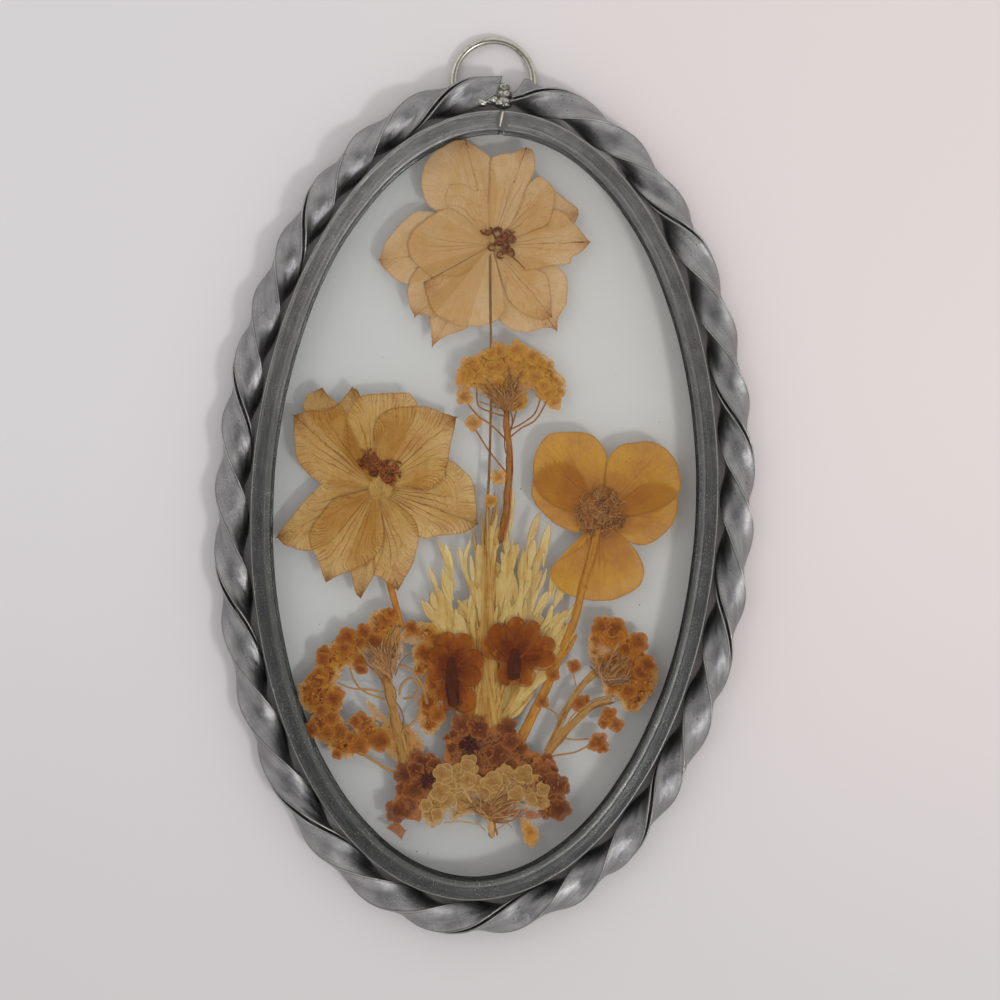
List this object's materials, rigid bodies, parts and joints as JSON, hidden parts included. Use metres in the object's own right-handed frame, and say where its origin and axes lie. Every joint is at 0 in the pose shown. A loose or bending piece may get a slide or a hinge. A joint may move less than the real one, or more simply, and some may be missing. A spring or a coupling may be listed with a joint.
{
  "type": "pressed flower frame",
  "caption": "Oval hanging ornament: pressed dried flowers between two glass panes in a lead came, edged with a twisted lead rope and topped by a wire ring.",
  "frame": {"origin": "on the surface it lies on, under the middle of its bounding box", "axes": "+Z out of the front glass towards the viewer, +Y along the oval to the hanging ring, +X to the viewer's right"},
  "size_m": [0.0902, 0.15, 0.0065],
  "materials": {
    "clear_glass": "polished",
    "lead_came": "satin",
    "lead_rope": "satin",
    "solder": "satin",
    "ring_wire": "satin",
    "pale_petal": "matte",
    "golden_petal": "matte",
    "amber_petal": "matte",
    "stamens": "matte",
    "dry_stem": "matte",
    "alyssum_floret": "matte",
    "cream_bud": "matte",
    "brown_petal": "matte",
    "tan_floret": "matte"
  },
  "bodies": {
    "root": {"alyssum_front": "tan_floret", "alyssum_left": "alyssum_floret", "alyssum_right": "alyssum_floret", "alyssum_top": "alyssum_floret", "brown_cluster_left": "brown_petal", "brown_cluster_middle": "brown_petal", "brown_cluster_right": "brown_petal", "brown_floret_left": "brown_petal", "brown_floret_right": "brown_petal", "buttercup_petal_1": "amber_petal", "buttercup_petal_2": "amber_petal", "buttercup_petal_3": "amber_petal", "buttercup_petal_4": "amber_petal", "buttercup_petal_5": "amber_petal", "buttercup_stamens": "stamens", "buttercup_stem": "dry_stem", "came": "lead_came", "came_solder": "solder", "cream_spray": "cream_bud", "glass_back": "clear_glass", "glass_front": "clear_glass", "hanging_ring": "ring_wire", "larkspur_left_petal_1": "golden_petal", "larkspur_left_petal_2": "golden_petal", "larkspur_left_petal_3": "golden_petal", "larkspur_left_petal_4": "golden_petal", "larkspur_left_petal_5": "golden_petal", "larkspur_left_petal_6": "golden_petal", "larkspur_left_petal_7": "golden_petal", "larkspur_left_petal_8": "golden_petal", "larkspur_left_petal_9": "golden_petal", "larkspur_left_stamens": "stamens", "larkspur_left_stem": "dry_stem", "larkspur_top_petal_1": "pale_petal", "larkspur_top_petal_10": "pale_petal", "larkspur_top_petal_11": "pale_petal", "larkspur_top_petal_2": "pale_petal", "larkspur_top_petal_3": "pale_petal", "larkspur_top_petal_4": "pale_petal", "larkspur_top_petal_5": "pale_petal", "larkspur_top_petal_6": "pale_petal", "larkspur_top_petal_7": "pale_petal", "larkspur_top_petal_8": "pale_petal", "larkspur_top_petal_9": "pale_petal", "larkspur_top_stamens": "stamens", "larkspur_top_stem": "dry_stem", "loose_floret": "tan_floret", "petal_fragment": "brown_petal", "rope_solder": "solder", "twisted_came": "lead_rope"}
  },
  "joints": []
}
